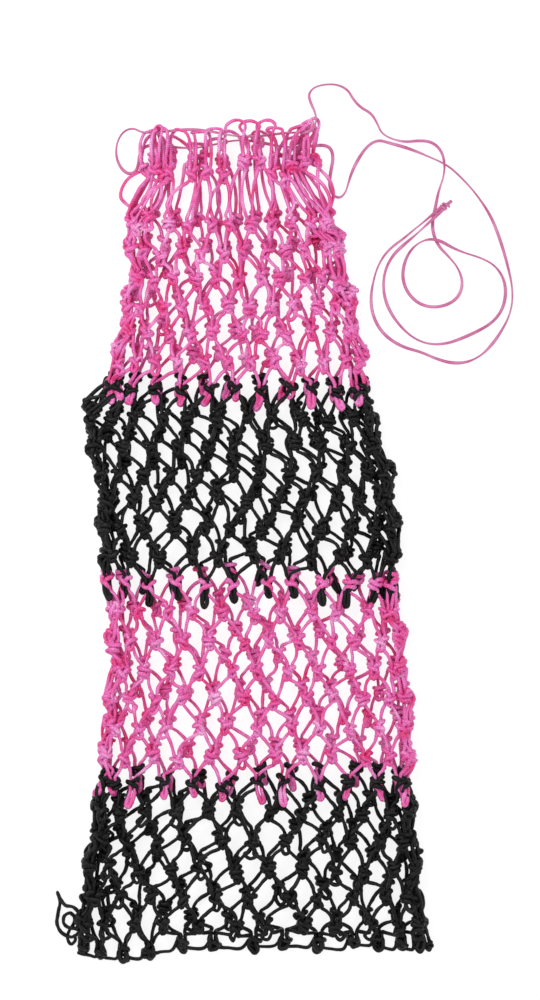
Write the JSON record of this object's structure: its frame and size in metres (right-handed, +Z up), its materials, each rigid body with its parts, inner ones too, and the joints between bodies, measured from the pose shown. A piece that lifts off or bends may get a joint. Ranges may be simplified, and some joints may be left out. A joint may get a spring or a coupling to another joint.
{
  "type": "hay net",
  "caption": "Knotted hay net lying flat, in bands of pink and black twine, with laced hem, looped mouth and pink drawstring.",
  "frame": {"origin": "under the middle of the netting's box, on the surface that the net lies on; the drawstring's free tails are left out of that box", "axes": "+Y from the laced hem to the mouth, +X to the side that the drawstring's tails leave, +Z up from the surface"},
  "size_m": [0.5515, 1.0549, 0.0338],
  "materials": {
    "twine_pink": "satin",
    "twine_black": "satin",
    "drawstring_pink": "satin"
  },
  "bodies": {
    "netting": {"upper_pink_course_1": "twine_pink", "upper_pink_course_2": "twine_pink", "upper_pink_course_3": "twine_pink", "upper_pink_course_4": "twine_pink", "upper_pink_course_5": "twine_pink", "upper_pink_course_6": "twine_pink", "upper_pink_course_7": "twine_pink", "upper_black_course_1": "twine_black", "upper_black_course_2": "twine_black", "upper_black_course_3": "twine_black", "upper_black_course_4": "twine_black", "upper_black_course_5": "twine_black", "upper_black_course_6": "twine_black", "upper_black_course_7": "twine_black", "lower_pink_course_1": "twine_pink", "lower_pink_course_2": "twine_pink", "lower_pink_course_3": "twine_pink", "lower_pink_course_4": "twine_pink", "lower_pink_course_5": "twine_pink", "lower_pink_course_6": "twine_pink", "lower_pink_course_7": "twine_pink", "lower_black_course_1": "twine_black", "lower_black_course_2": "twine_black", "lower_black_course_3": "twine_black", "lower_black_course_4": "twine_black", "lower_black_course_5": "twine_black", "lower_black_course_6": "twine_black", "hem_lacing_knots": "twine_black", "hem_lacing_twine": "twine_black", "corner_loop": "twine_black", "corner_end": "twine_black", "lacing_end": "twine_black", "lacing_end_knot": "twine_black", "mouth_loops_13": "twine_pink"},
    "drawstring": {"drawstring_front_run": "drawstring_pink", "drawstring_back_run": "drawstring_pink", "drawstring_slack_turn": "drawstring_pink", "drawstring_long_tail": "drawstring_pink", "drawstring_short_tail": "drawstring_pink", "drawstring_end_knot": "drawstring_pink"},
    "mouth_loop_1": {"mouth_loops_1": "twine_pink"},
    "mouth_loop_2": {"mouth_loops_2": "twine_pink"},
    "mouth_loop_3": {"mouth_loops_3": "twine_pink"},
    "mouth_loop_4": {"mouth_loops_4": "twine_pink"},
    "mouth_loop_5": {"mouth_loops_5": "twine_pink"},
    "mouth_loop_6": {"mouth_loops_6": "twine_pink"},
    "mouth_loop_7": {"mouth_loops_7": "twine_pink"},
    "mouth_loop_8": {"mouth_loops_8": "twine_pink"},
    "mouth_loop_9": {"mouth_loops_9": "twine_pink"},
    "mouth_loop_10": {"mouth_loops_10": "twine_pink"},
    "mouth_loop_11": {"mouth_loops_11": "twine_pink"},
    "mouth_loop_12": {"mouth_loops_12": "twine_pink"}
  },
  "joints": [
    {"name": "drawstring_pull", "type": "slide", "parent": "netting", "child": "drawstring", "axis": [1, 0, 0], "range_m": [0, 0.06], "deforming": ["drawstring_slack_turn"]},
    {"name": "mouth_gather_1", "type": "slide", "parent": "netting", "child": "mouth_loop_1", "axis": [1, 0, 0], "range_m": [0, 0.0288]},
    {"name": "mouth_gather_2", "type": "slide", "parent": "netting", "child": "mouth_loop_2", "axis": [1, 0, 0], "range_m": [0, 0.0264]},
    {"name": "mouth_gather_3", "type": "slide", "parent": "netting", "child": "mouth_loop_3", "axis": [1, 0, 0], "range_m": [0, 0.024]},
    {"name": "mouth_gather_4", "type": "slide", "parent": "netting", "child": "mouth_loop_4", "axis": [1, 0, 0], "range_m": [0, 0.0216]},
    {"name": "mouth_gather_5", "type": "slide", "parent": "netting", "child": "mouth_loop_5", "axis": [1, 0, 0], "range_m": [0, 0.0192]},
    {"name": "mouth_gather_6", "type": "slide", "parent": "netting", "child": "mouth_loop_6", "axis": [1, 0, 0], "range_m": [0, 0.0168]},
    {"name": "mouth_gather_7", "type": "slide", "parent": "netting", "child": "mouth_loop_7", "axis": [1, 0, 0], "range_m": [0, 0.0144]},
    {"name": "mouth_gather_8", "type": "slide", "parent": "netting", "child": "mouth_loop_8", "axis": [1, 0, 0], "range_m": [0, 0.012]},
    {"name": "mouth_gather_9", "type": "slide", "parent": "netting", "child": "mouth_loop_9", "axis": [1, 0, 0], "range_m": [0, 0.0096]},
    {"name": "mouth_gather_10", "type": "slide", "parent": "netting", "child": "mouth_loop_10", "axis": [1, 0, 0], "range_m": [0, 0.0072]},
    {"name": "mouth_gather_11", "type": "slide", "parent": "netting", "child": "mouth_loop_11", "axis": [1, 0, 0], "range_m": [0, 0.0048]},
    {"name": "mouth_gather_12", "type": "slide", "parent": "netting", "child": "mouth_loop_12", "axis": [1, 0, 0], "range_m": [0, 0.0024]}
  ],
  "couplings": [
    {"joint": "mouth_gather_1", "follows": "drawstring_pull", "ratio": 0.48},
    {"joint": "mouth_gather_2", "follows": "drawstring_pull", "ratio": 0.44},
    {"joint": "mouth_gather_3", "follows": "drawstring_pull", "ratio": 0.4},
    {"joint": "mouth_gather_4", "follows": "drawstring_pull", "ratio": 0.36},
    {"joint": "mouth_gather_5", "follows": "drawstring_pull", "ratio": 0.32},
    {"joint": "mouth_gather_6", "follows": "drawstring_pull", "ratio": 0.28},
    {"joint": "mouth_gather_7", "follows": "drawstring_pull", "ratio": 0.24},
    {"joint": "mouth_gather_8", "follows": "drawstring_pull", "ratio": 0.2},
    {"joint": "mouth_gather_9", "follows": "drawstring_pull", "ratio": 0.16},
    {"joint": "mouth_gather_10", "follows": "drawstring_pull", "ratio": 0.12},
    {"joint": "mouth_gather_11", "follows": "drawstring_pull", "ratio": 0.08},
    {"joint": "mouth_gather_12", "follows": "drawstring_pull", "ratio": 0.04}
  ]
}
